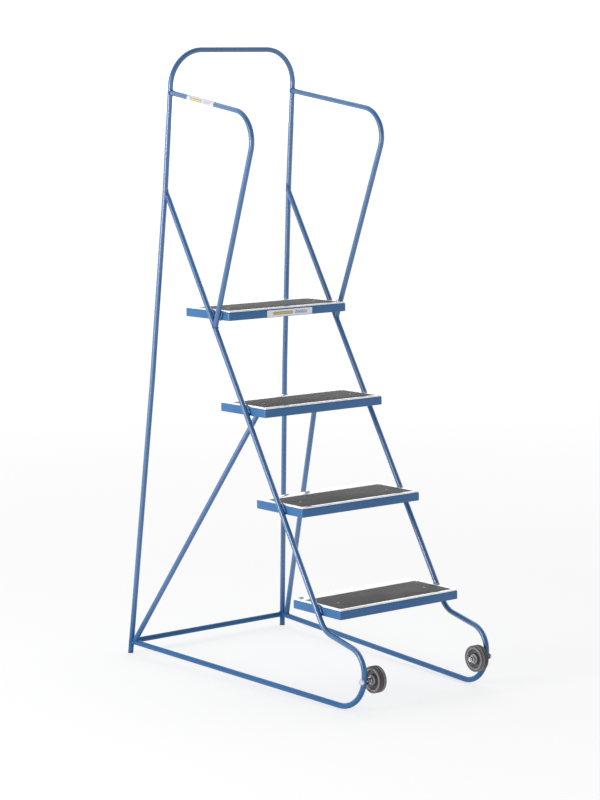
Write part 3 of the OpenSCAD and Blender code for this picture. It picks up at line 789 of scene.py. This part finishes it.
def tyre(word, s):
    """Tyre with flat flanks, round shoulders and a groove round its middle."""
    low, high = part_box(word + "_wheel_tyre")
    half = (high.x - low.x) / 2
    flank = -half + 0.2 * MM
    outer = [(-half + 1.2 * MM, HUB_R), (-half, HUB_R + 1.5 * MM), (flank, TYRE_R - 4.5 * MM)]
    tread = [(flank + SHOULDER_WIDTH * (1 - cos), TYRE_R - SHOULDER_DEPTH * (1 - sin))
             for sin, cos in quarter(SHOULDER_STEPS)]
    tread += [(-1.7 * MM, TYRE_R), (-1.3 * MM, TYRE_R - 0.4 * MM), (-1.0 * MM, TYRE_R - 1.2 * MM)]
    inner = [(-flank, TYRE_R - 5 * MM), (half, HUB_R + 1.5 * MM), (half - 1.2 * MM, HUB_R)]
    profile = outer + tread + [(-x, r) for x, r in tread[::-1]] + inner
    lathe(word + "_tyre_rubber", profile, (low + high) / 2, s * X_AXIS, tyre_rubber,
          word + "_wheel", WHEEL_SEGMENTS, True, word + "_wheel_tyre")


def hub(word, s):
    """Hub with a boss and a rim, joined by a thinner web."""
    low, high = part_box(word + "_wheel_hub")
    half = (high.x - low.x) / 2
    rim_in = HUB_R - HUB_RIM
    boss = [(half - 0.4 * MM, BORE_R), (half, BORE_R + 0.5 * MM), (half, BOSS_R - 1.2 * MM),
            (half - 0.4 * MM, BOSS_R - 0.4 * MM), (half - 1.2 * MM, BOSS_R)]
    web = [(WEB + 2 * MM, BOSS_R + 1 * MM), (WEB + 0.5 * MM, BOSS_R + 1.7 * MM), (WEB, BOSS_R + 3 * MM),
           (WEB, rim_in - 3 * MM), (WEB + 0.6 * MM, rim_in - 1.4 * MM), (WEB + 2.2 * MM, rim_in - 0.6 * MM)]
    rim = [(half - 1 * MM, rim_in), (half - 0.3 * MM, rim_in + 0.3 * MM), (half, rim_in + 1 * MM),
           (half, HUB_R - 0.8 * MM), (half - 0.8 * MM, HUB_R)]
    side = boss + web + rim
    profile = [(-x, r) for x, r in side] + side[::-1]
    lathe(word + "_hub_moulding", profile, (low + high) / 2, s * X_AXIS, hub_plastic,
          word + "_wheel", WHEEL_SEGMENTS, True, word + "_wheel_hub")


for word, s in SIDES:
    tyre(word, s)
    hub(word, s)

# ---------------------------------------------------------------- labels
RAIL_LABEL_FROM, RAIL_LABEL_TO = 92 * MM, 220 * MM   # along the left handrail from its rear end
FILM_T = 0.25 * MM
LABEL_SIDES, LABEL_RINGS = 48, 20
STEP_LABEL_CORNER, STEP_LABEL_STEPS = 1.5 * MM, 4


def rail_label():
    """Film wrapped round the left handrail."""
    rear, corner = mirror(rail_top, -1), mirror(rail_corner, -1)
    start, end = toward(rear, corner, RAIL_LABEL_FROM), toward(rear, corner, RAIL_LABEL_TO)
    d = (end - start).normalized()
    out = (-X_AXIS + d * d.x).normalized()
    up = out.cross(d)
    length = (end - start).length
    across = (up, start.dot(up) - TUBE_R, 2 * TUBE_R)
    material = film("rail_label_film", (d, start.dot(d), length), across, rgb(0.62, 0.63, 0.69))
    rings = [circle(start + d * length * i / LABEL_RINGS, out, up, TUBE_R + FILM_T, LABEL_SIDES)
             for i in range(LABEL_RINGS + 1)]
    make_object("rail_label_film", skin(rings), material, replaces="handrail_label")


def step_label():
    """Flat film on the front of the top tread."""
    low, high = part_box("platform_label")
    material = film("step_label_film", (X_AXIS, low.x, high.x - low.x), (Z_AXIS, low.z, high.z - low.z),
                    rgb(0.84, 0.85, 0.92))
    outline = corner_points(low.x, high.x, low.z, high.z, STEP_LABEL_CORNER, STEP_LABEL_STEPS)
    rings = [[Vector((x, y, z)) for x, z in outline] for y in (low.y, high.y)]
    make_object("step_label_film", skin(rings, capped=True), material,
                replaces="platform_label")


rail_label()
step_label()

# ---------------------------------------------------------------- CAD pieces that show as they are
for name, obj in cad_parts.items():
    if name.endswith("foot_plug"):
        material = plug_plastic
    elif any(key in name for key in ("bolt", "nut", "washers", "bush")):
        material = zinc
    else:
        continue
    obj.data.materials.clear()
    obj.data.materials.append(material)

# ---------------------------------------------------------------- floor, light and camera
VIEW_YAW = math.radians(38.242)
VIEW_PITCH = math.radians(-7.514)
VIEW_ROLL = math.radians(0.62)
CAMERA_PLACE = at_reach(-4.213, 5.7939, 1.6479)
LENS_MM, SENSOR_MM = 111.8835, 36.0
FLOOR_HALF = 60.0
FLOOR_DROP = 0.4 * MM
WHITE = rgb(1.0, 1.0, 1.0)
forward = Vector((math.sin(VIEW_YAW) * math.cos(VIEW_PITCH), math.cos(VIEW_YAW) * math.cos(VIEW_PITCH),
                  math.sin(VIEW_PITCH)))


def floor_material():
    """Pale floor, part matte and part glow, and all glow further out, where it joins the background."""
    g = Graph("studio_floor")
    glow_part = g.ramp(g.length(g.place()), 1.5, 7.0, 0.65, 1.0)
    blend = g.add("ShaderNodeMixShader", Fac=glow_part)
    g.feed(blend.inputs[1], g.add("ShaderNodeBsdfDiffuse", Color=rgb(0.9, 0.9, 0.9)))
    g.feed(blend.inputs[2], g.add("ShaderNodeEmission", Color=WHITE, Strength=1.04))
    return g.output(blend)


def studio_floor():
    mesh = bpy.data.meshes.new("studio_floor")
    corners = [(-FLOOR_HALF, -FLOOR_HALF, 0), (FLOOR_HALF, -FLOOR_HALF, 0), (FLOOR_HALF, FLOOR_HALF, 0),
               (-FLOOR_HALF, FLOOR_HALF, 0)]
    mesh.from_pydata(corners, [], [(0, 1, 2, 3)])
    mesh.materials.append(floor_material())
    floor = bpy.data.objects.new("studio_floor", mesh)
    floor.location = (0, 0, -FLOOR_DROP)
    bpy.context.scene.collection.objects.link(floor)


def studio_world():
    """Bright behind the steps and dimmer on the side they are seen from, with a bright horizon."""
    g = Graph("studio_world", world=True)
    ray = g.add("ShaderNodeTexCoord").outputs["Generated"]
    ahead = g.along(Vector((forward.x, forward.y, 0)).normalized(), ray)
    height = g.math("ABSOLUTE", g.along(Z_AXIS, ray))
    horizon = g.ramp(height, 0.03, 0.22, 1.0, 0.0)
    strength = g.math("MAXIMUM", g.ramp(ahead, -0.3, 0.6, 0.24, 1.5), horizon)
    return g.output(g.add("ShaderNodeBackground", Color=WHITE, Strength=strength))


def area_light(name, place, target, width, height, watts):
    light = bpy.data.lights.new(name, "AREA")
    light.shape = "RECTANGLE"
    light.size = width
    light.size_y = height
    light.energy = watts
    obj = bpy.data.objects.new(name, light)
    obj.location = place
    obj.rotation_euler = (Vector(target) - Vector(place)).to_track_quat("-Z", "Y").to_euler()
    bpy.context.scene.collection.objects.link(obj)


def photo_camera():
    """A camera at the photograph's angle."""
    level = Vector((math.cos(VIEW_YAW), -math.sin(VIEW_YAW), 0))
    rise = level.cross(forward)
    right = level * math.cos(VIEW_ROLL) - rise * math.sin(VIEW_ROLL)
    up = rise * math.cos(VIEW_ROLL) + level * math.sin(VIEW_ROLL)
    data = bpy.data.cameras.new("camera")
    data.sensor_width = SENSOR_MM
    data.lens = LENS_MM
    data.clip_end = 200.0
    camera = bpy.data.objects.new("camera", data)
    turn = Matrix((right, up, -forward)).transposed().to_4x4()
    camera.matrix_world = Matrix.Translation(CAMERA_PLACE) @ turn
    bpy.context.scene.collection.objects.link(camera)
    bpy.context.scene.camera = camera


studio_floor()
bpy.context.scene.world = studio_world()

# The small light stands before the broad one and draws the bright line along the tubes.
area_light("soft_left", place=(-4.6, 0.1, 1.6), target=(0, 0, 0.8), width=3.2, height=3.4, watts=130)
area_light("strip_left", place=(-4.3, 0.1, 1.15), target=(0, 0, 1.1), width=0.9, height=0.8, watts=34)

photo_camera()
bpy.context.scene.view_settings.view_transform = "Standard"
